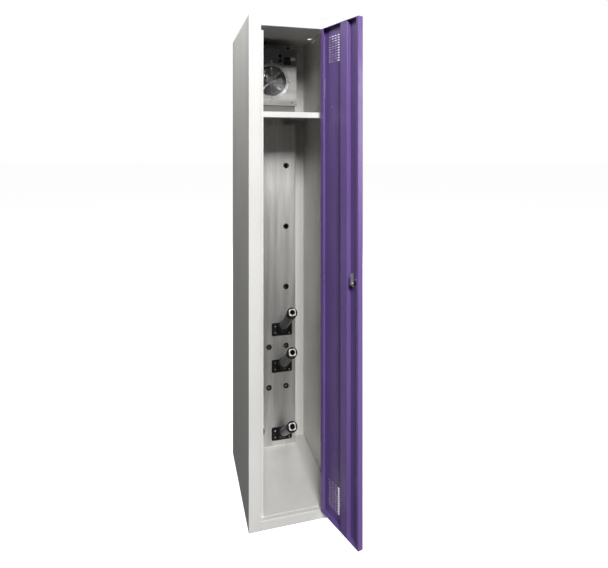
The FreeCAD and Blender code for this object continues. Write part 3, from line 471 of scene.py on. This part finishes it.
class MakeFanGuard(bpy.types.Operator):
    """Steel wire guard: rings on crossed wires, with an eye at each screw"""
    bl_idname = "locker.make_fan_guard"
    bl_label = "Make the fan guard"

    RING_SIDES, EYE_SIDES, SPACER_SIDES = 72, 28, 24
    EYE_LOOP = 3.6 * MM  # radius of an eye, to the middle of its wire
    EYE_REACH = 3.2 * MM  # a spoke stops this far from the middle of its eye
    # In wire radii: how far the spokes lie behind the rings, and the rings behind the guard's front
    SPOKE_DEPTH, RING_DEPTH = 1.7, 1.6
    # A spacer's radius and its distance from the spacer's front, in millimetres
    SPACER_PROFILE = ((2.3, 0), (3.4, 0), (4.2, 0.8), (4.2, 5), (3.4, 5.4), (2.3, 5.4))
    SPACER_LENGTH = 5.4

    def execute(self, context):
        own = context.scene.locker_guard
        # Bright drawn wire: thin sharp glints round each ring.
        metal = bare_metal("bright_steel_wire", "#C8C9CA", "#DCDDDE", 0.2)
        sizes = {"Rings": own.rings, "Spokes": own.spokes, "Wire": own.wire, "Inner": own.inner,
                 "Outer": own.outer, "Eyes": own.eyes}
        tree, size = new_tree("wire_guard", sizes)
        room = calculate(tree, "SUBTRACT", size["Outer"], size["Inner"])
        gaps = calculate(tree, "SUBTRACT", size["Rings"], 1.0)
        step = calculate(tree, "DIVIDE", room, gaps)
        index = add(tree, "GeometryNodeInputIndex").outputs[0]
        radius = calculate(tree, "ADD", calculate(tree, "MULTIPLY", index, step), size["Inner"])
        points = add(tree, "GeometryNodePoints", {"Count": size["Rings"]}).outputs[0]
        circle = add(tree, "GeometryNodeCurvePrimitiveCircle",
                     {"Resolution": self.RING_SIDES, "Radius": 1.0}).outputs[0]
        rings = add(tree, "GeometryNodeInstanceOnPoints",
                    {"Points": points, "Instance": circle, "Scale": vector(tree, radius, radius, radius)})
        rings = add(tree, "GeometryNodeRealizeInstances", {"Geometry": rings.outputs[0]}).outputs[0]
        rings = wire(tree, rings, size["Wire"])

        behind = calculate(tree, "MULTIPLY", size["Wire"], -self.SPOKE_DEPTH)
        reach = calculate(tree, "SUBTRACT", size["Eyes"], self.EYE_REACH)
        spoke = add(tree, "GeometryNodeCurvePrimitiveLine",
                    {"Start": vector(tree, 0.0, 0.0, behind), "End": vector(tree, reach, 0.0, behind)})
        spokes = copies_round(tree, size["Spokes"], wire(tree, spoke.outputs[0], size["Wire"]))
        ends = {"Start": vector(tree, size["Inner"], 0.0, behind),
                "End": vector(tree, size["Outer"], 0.0, behind)}
        short = add(tree, "GeometryNodeCurvePrimitiveLine", ends)
        diagonals = copies_round(tree, size["Spokes"], wire(tree, short.outputs[0], size["Wire"]))
        diagonals = add(tree, "GeometryNodeTransform",
                        {"Geometry": diagonals, "Rotation": (0, 0, FULL_TURN / 8)}).outputs[0]

        loop = add(tree, "GeometryNodeCurvePrimitiveCircle",
                   {"Resolution": self.EYE_SIDES, "Radius": self.EYE_LOOP}).outputs[0]
        loop = wire(tree, loop, size["Wire"])
        loop = add(tree, "GeometryNodeTransform",
                   {"Geometry": loop, "Translation": vector(tree, size["Eyes"], 0.0, behind)})
        eyes = copies_round(tree, size["Spokes"], loop.outputs[0])
        whole = join(tree, rings, spokes, diagonals, eyes)

        low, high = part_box("fan_guard")
        centre = middle("fan_guard")
        place = (centre.x, low[1] + self.RING_DEPTH * own.wire, centre.z)
        links = {"Geometry": whole, "Translation": place, "Rotation": (FULL_TURN / 4, 0, 0)}
        end_tree(tree, add(tree, "GeometryNodeTransform", links).outputs[0], metal)
        seed = mesh_of("guard_seed", [(0, 0, 0)])
        guard = grown("fan_guard_wires", tree, sizes, seed, "carcass")
        posts = self.posts(centre, high[1], own, place[1])
        feet = piece("guard_spacers", posts, "carcass", metal)
        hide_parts("fan_guard")
        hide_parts("fan_guard")
        return {"FINISHED"}

    def posts(self, centre, wall, own, wires):
        """Turned spacers that hold the guard's eyes off the box."""
        points, faces = [], []
        sides, steps = self.SPACER_SIDES, self.SPACER_PROFILE
        front = wires + self.SPOKE_DEPTH * own.wire + own.wire
        depth = wall - front
        for turn in range(own.spokes):
            angle = FULL_TURN * turn / own.spokes
            x = centre.x + own.eyes * math.cos(angle)
            z = centre.z + own.eyes * math.sin(angle)
            base = len(points)
            for side in range(sides):
                a = FULL_TURN * side / sides
                for radius, along in steps:
                    r = radius * MM
                    y = front + depth * along / self.SPACER_LENGTH
                    points.append((x + r * math.cos(a), y, z + r * math.sin(a)))
            for side in range(sides):
                here, there = base + side * len(steps), base + (side + 1) % sides * len(steps)
                for k in range(len(steps)):
                    n = (k + 1) % len(steps)
                    faces.append((here + k, here + n, there + n, there + k))
        return mesh_of("guard_spacers", points, faces, False)


class MakeFan(bpy.types.Operator):
    """Moulded fan: twisted, cambered blades round a domed hub"""
    bl_idname = "locker.make_fan"
    bl_label = "Make the fan"

    ROOT_INSIDE = 2 * MM  # the blades start this far inside the hub
    TIP_GAP = 0.4 * MM  # and end this far inside the tips' circle
    STATIONS, AROUND = 9, 7  # sections in a blade, and points on each side of a section
    ROOT_CHORD, CHORD_GAIN = 0.72, 0.28  # shares of the tip's chord
    ROOT_PITCH = math.radians(42)
    TIP_SWEEP = 5 * MM
    EDGE, BELLY = 0.25 * MM, 0.9 * MM  # half the thickness at an edge, and what the middle adds to it
    BLUNT = 0.06  # share of the chord over which an edge keeps its thickness
    CAMBER = 0.11  # rise of the middle line as a share of the chord
    HUB_SIDES = 56
    # The hub as shares of its radius and of half its depth, from the middle of its face to its back
    HUB_PROFILE = (
        (0.0, -1.0), (0.45, -1.0), (0.5, -0.93), (0.56, -0.93), (0.62, -1.0), (0.8, -0.98),
        (0.93, -0.86), (1.0, -0.62), (1.0, 0.95), (0.94, 1.0), (0.0, 1.0))

    def execute(self, context):
        own = context.scene.locker_fan
        low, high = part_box("fan_rotor")
        centre = middle("fan_rotor")
        tip = (high[2] - low[2]) / 2
        # Polyamide: near black with a wide faint sheen that shows the blades' twist.
        plastic = moulded("fan_polyamide", "#0C0C0D", "#131314", 0.5, specular=0.25)
        sizes = {"Blades": own.blades}
        tree, size = new_tree("fan_blades", sizes)
        ring = copies_round(tree, size["Blades"], size["Geometry"], "Y")
        links = {"Geometry": ring, "Translation": tuple(centre)}
        end_tree(tree, add(tree, "GeometryNodeTransform", links).outputs[0], plastic)
        blade = self.blade(own, own.hub - self.ROOT_INSIDE, tip - self.TIP_GAP)
        blades = grown("fan_blades", tree, sizes, blade, "fan")
        cup = self.hub(centre, own.hub, (high[1] - low[1]) / 2)
        hub = piece("fan_hub", cup, "fan", plastic)
        for made in (blades, hub):
            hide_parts("fan_rotor")
        return {"FINISHED"}

    def blade(self, own, root, tip):
        """One blade along +Z, closed, from sections that turn and widen towards the tip."""
        points, faces = [], []
        stations, around = self.STATIONS, self.AROUND
        for i in range(stations):
            share = i / (stations - 1)
            radius = root + (tip - root) * share
            chord = own.chord * (self.ROOT_CHORD + self.CHORD_GAIN * share)
            pitch = self.ROOT_PITCH - own.twist * share
            sweep = self.TIP_SWEEP * share * share
            for k in range(2 * around):
                upper = k < around
                along = k / (around - 1) if upper else (2 * around - 1 - k) / (around - 1)
                inside = min(max(along, self.BLUNT), 1 - self.BLUNT)
                thick = self.BELLY * math.sin(math.pi * inside) + self.EDGE
                camber = self.CAMBER * chord * math.sin(math.pi * along)
                c = (along - 0.5) * chord + sweep
                h = camber + (thick if upper else -thick)
                x = c * math.cos(pitch) - h * math.sin(pitch)
                y = c * math.sin(pitch) + h * math.cos(pitch)
                # The tip's section is bent to the circle that the tips run in.
                drop = radius - math.sqrt(max(radius * radius - x * x, 0)) if share == 1 else 0
                points.append((x, y, radius - drop))
        # These faces wind inwards. It is a known fault, and each tuple would have to be reversed.
        ring = 2 * around
        for i in range(stations - 1):
            for k in range(ring):
                n = (k + 1) % ring
                faces.append((i * ring + k, i * ring + n, (i + 1) * ring + n, (i + 1) * ring + k))
        faces.append(tuple(reversed(range(ring))))
        last = (stations - 1) * ring
        faces.append(tuple(range(last, last + ring)))
        return mesh_of("fan_blade", points, faces)

    def hub(self, centre, radius, half_depth):
        """A domed cup with a shallow ring in its face, facing the guard."""
        sides = self.HUB_SIDES
        points = [tuple(centre + Vector((0, -half_depth, 0)))]
        rings = self.HUB_PROFILE[1:-1]
        for share, depth in rings:
            for side in range(sides):
                angle = FULL_TURN * side / sides
                x, z = math.cos(angle) * share * radius, math.sin(angle) * share * radius
                points.append(tuple(centre + Vector((x, depth * half_depth, z))))
        points.append(tuple(centre + Vector((0, half_depth, 0))))
        faces = []
        for side in range(sides):
            n = (side + 1) % sides
            faces.append((0, 1 + side, 1 + n))
            for k in range(len(rings) - 1):
                a, b = 1 + k * sides, 1 + (k + 1) * sides
                faces.append((a + side, b + side, b + n, a + n))
            last = 1 + (len(rings) - 1) * sides
            faces.append((last + side, len(points) - 1, last + n))
        return mesh_of("fan_hub", points, faces)


class DressNozzles(bpy.types.Operator):
    """Grip ribs round each nozzle's black end, and a rubber ring in its mouth"""
    bl_idname = "locker.dress_nozzles"
    bl_label = "Dress the nozzles"

    COLLAR_RADIUS = 21 * MM  # where the middles of the ribs stand
    RIB_RADIUS, RIB_LENGTH, RIB_SIDES = 0.7 * MM, 14 * MM, 8
    RING_RADIUS, RING_THICKNESS = 9.8 * MM, 1.5 * MM  # the second is the radius of the rubber itself
    RING_SIDES, CORD_SIDES = 40, 12
    RING_OUT = 2.3 * MM  # from a mouth's middle towards its open end
    SHELL_ROOM = 45 * MM  # points closer to a shell's middle than this belong to it

    def execute(self, context):
        own = context.scene.locker_nozzles
        aim = (FULL_TURN / 4 - own.tilt, 0, 0)
        # The collars' nylon again: matt black ribs, read only by the light along their crowns.
        nylon = moulded("black_nylon_ribs", "#0A0A0B", "#121213", 0.6, specular=0.2)
        sizes = {"Ribs": own.ribs, "Radius": self.COLLAR_RADIUS, "Length": self.RIB_LENGTH}
        tree, size = new_tree("collar_ribs", sizes)
        rib = add(tree, "GeometryNodeMeshCylinder",
                  {"Vertices": self.RIB_SIDES, "Radius": self.RIB_RADIUS, "Depth": size["Length"]})
        at = add(tree, "GeometryNodeTransform",
                 {"Geometry": rib.outputs[0], "Translation": vector(tree, size["Radius"], 0.0, 0.0)})
        ring = copies_round(tree, size["Ribs"], at.outputs[0])
        self.place(tree, size["Geometry"], ring, aim, nylon)
        seeds = mesh_of("collar_seeds", self.middles("nozzle_collars"))
        grown("collar_ribs", tree, sizes, seeds, "carcass")

        # Rubber: the dullest black here, a soft dark edge inside each white mouth.
        rubber = moulded("mouth_ring_rubber", "#0B0B0B", "#131313", 0.7)
        sizes = {"Radius": self.RING_RADIUS, "Thickness": self.RING_THICKNESS}
        tree, size = new_tree("mouth_rings", sizes)
        circle = add(tree, "GeometryNodeCurvePrimitiveCircle",
                     {"Resolution": self.RING_SIDES, "Radius": size["Radius"]})
        ring = wire(tree, circle.outputs[0], size["Thickness"], self.CORD_SIDES)
        self.place(tree, size["Geometry"], ring, aim, rubber)
        out = Vector((0, -math.cos(own.tilt), math.sin(own.tilt))) * self.RING_OUT
        seeds = mesh_of("mouth_seeds", [spot + out for spot in self.middles("nozzle_mouths")])
        grown("mouth_rings", tree, sizes, seeds, "carcass")
        return {"FINISHED"}

    @staticmethod
    def place(tree, points, instance, aim, material):
        """Ends a tree with one aimed copy of an instance on each point."""
        whole = add(tree, "GeometryNodeRealizeInstances", {"Geometry": instance}).outputs[0]
        turn = add(tree, "FunctionNodeEulerToRotation", {"Euler": aim})
        links = {"Points": points, "Instance": whole, "Rotation": turn.outputs[0]}
        end_tree(tree, add(tree, "GeometryNodeInstanceOnPoints", links).outputs[0], material)

    def middles(self, node):
        """The middle of each loose shell of a frame part whose shells stand well apart."""
        spots = []
        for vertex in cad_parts[node].data.vertices:
            place = vertex.co
            for spot in spots:
                if (spot["middle"] - place).length < self.SHELL_ROOM:
                    spot["low"] = Vector(map(min, spot["low"], place))
                    spot["high"] = Vector(map(max, spot["high"], place))
                    spot["middle"] = (spot["low"] + spot["high"]) / 2
                    break
            else:
                spots.append({"low": place.copy(), "high": place.copy(), "middle": place.copy()})
        return [spot["middle"] for spot in spots]


class SetStage(bpy.types.Operator):
    """Pale floor, soft lights and the camera"""
    bl_idname = "locker.set_stage"
    bl_label = "Set the stage"

    # Each power's light: its name, its place, what it points at and its width, in metres
    LIGHTS = {
        "key": ("front_light", (-0.45, -4.6, 3.5), (0.0, 0.1, 0.6), 1.4),
        "right": ("right_light", (2.6, -1.8, 1.6), (0.16, -0.1, 1.0), 1.2),
        "back": ("back_light", (1.4, 4.2, 2.6), (0.0, 0.4, 0.9), 1.6),
        "side": ("left_light", (-0.75, 0.15, 2.3), (-0.16, 0.2, 1.8), 0.4),
    }
    SHIFT = (-0.0334, -0.2213)
    FLOOR_HALF = 60.0

    def execute(self, context):
        own = context.scene.locker_stage
        scene = context.scene
        self.floor()
        for setting, lamp in self.LIGHTS.items():
            self.light(*lamp, getattr(own, setting))
        self.room(scene, own.room, own.gleam)

        camera = bpy.data.cameras.new("camera")
        camera.lens = own.lens
        # The upright edges stay upright, so the lens is shifted, not tipped.
        camera.shift_x, camera.shift_y = self.SHIFT
        camera.clip_end = 50
        holder = in_scene("camera", camera)
        holder.location = own.eye
        holder.rotation_euler = Euler((math.pi / 2, 0, -own.heading))
        scene.camera = holder
        scene.view_settings.view_transform = "Standard"
        return {"FINISHED"}

    def floor(self):
        half = self.FLOOR_HALF
        corners = [(-half, -half, 0), (half, -half, 0), (half, half, 0), (-half, half, 0)]
        mesh = mesh_of("floor", corners, [(0, 1, 2, 3)], False)
        # A matt white studio sweep, lit from within, so that it stays pale up to the horizon.
        material, _, shader, _ = new_material("pale_floor")
        shader.inputs["Base Color"].default_value = linear("#F4F4F4")
        shader.inputs["Roughness"].default_value = 0.8
        shader.inputs["Emission Color"].default_value = linear("#FFFFFF")
        shader.inputs["Emission Strength"].default_value = 0.9
        mesh.materials.append(material)
        made = in_scene("floor", mesh)
        made.visible_diffuse = made.visible_glossy = False

    @staticmethod
    def light(name, place, target, size, power):
        lamp = bpy.data.lights.new(name, "AREA")
        lamp.shape, lamp.size, lamp.energy = "SQUARE", size, power
        made = in_scene(name, lamp)
        made.location = place
        made.rotation_euler = (Vector(target) - Vector(place)).to_track_quat("-Z", "Y").to_euler()

    @staticmethod
    def room(scene, strength, gleam):
        """A dim room: the camera sees it as a white wall, and bare metal mirrors it as a soft grey."""
        world = bpy.data.worlds.new("room")
        scene.world = world
        world.use_nodes = True
        tree = world.node_tree
        tree.nodes.clear()
        soft = add(tree, "ShaderNodeBackground", {"Color": linear("#F2F3EE"), "Strength": strength})
        shine = add(tree, "ShaderNodeBackground", {"Color": linear("#FFFFFF"), "Strength": gleam})
        wall = add(tree, "ShaderNodeBackground", {"Color": linear("#FFFFFF"), "Strength": 1.0})
        path = add(tree, "ShaderNodeLightPath")
        mirrored = add(tree, "ShaderNodeMixShader",
                       {0: path.outputs["Is Glossy Ray"], 1: soft.outputs[0], 2: shine.outputs[0]})
        seen = add(tree, "ShaderNodeMixShader",
                   {0: path.outputs["Is Camera Ray"], 1: mirrored.outputs[0], 2: wall.outputs[0]})
        add(tree, "ShaderNodeOutputWorld", {"Surface": seen.outputs[0]})


OPERATORS = (PaintSheets, FinishSteel, FinishFittings, MakeFanGuard, MakeFan, DressNozzles, SetStage)


class LockerPanel(bpy.types.Panel):
    """The locker's settings and steps"""
    bl_idname = "VIEW3D_PT_drying_locker"
    bl_label = "Drying locker"
    bl_space_type = "VIEW_3D"
    bl_region_type = "UI"
    bl_category = "Drying locker"

    def draw(self, context):
        for name, group in SETTINGS.items():
            box = self.layout.box()
            for setting in group.__annotations__:
                box.prop(getattr(context.scene, name), setting)
        for operator in OPERATORS:
            self.layout.operator(operator.bl_idname)


def register():
    for group in SETTINGS.values():
        bpy.utils.register_class(group)
    for name, group in SETTINGS.items():
        setattr(bpy.types.Scene, name, bpy.props.PointerProperty(type=group))
    for made in (*OPERATORS, LockerPanel):
        bpy.utils.register_class(made)


def unregister():
    for made in (LockerPanel, *reversed(OPERATORS)):
        bpy.utils.unregister_class(made)
    for name, group in SETTINGS.items():
        delattr(bpy.types.Scene, name)
        bpy.utils.unregister_class(group)


def main():
    register()
    for operator in OPERATORS:
        group, name = operator.bl_idname.split(".")
        getattr(getattr(bpy.ops, group), name)()


if __name__ == "__main__":
    main()
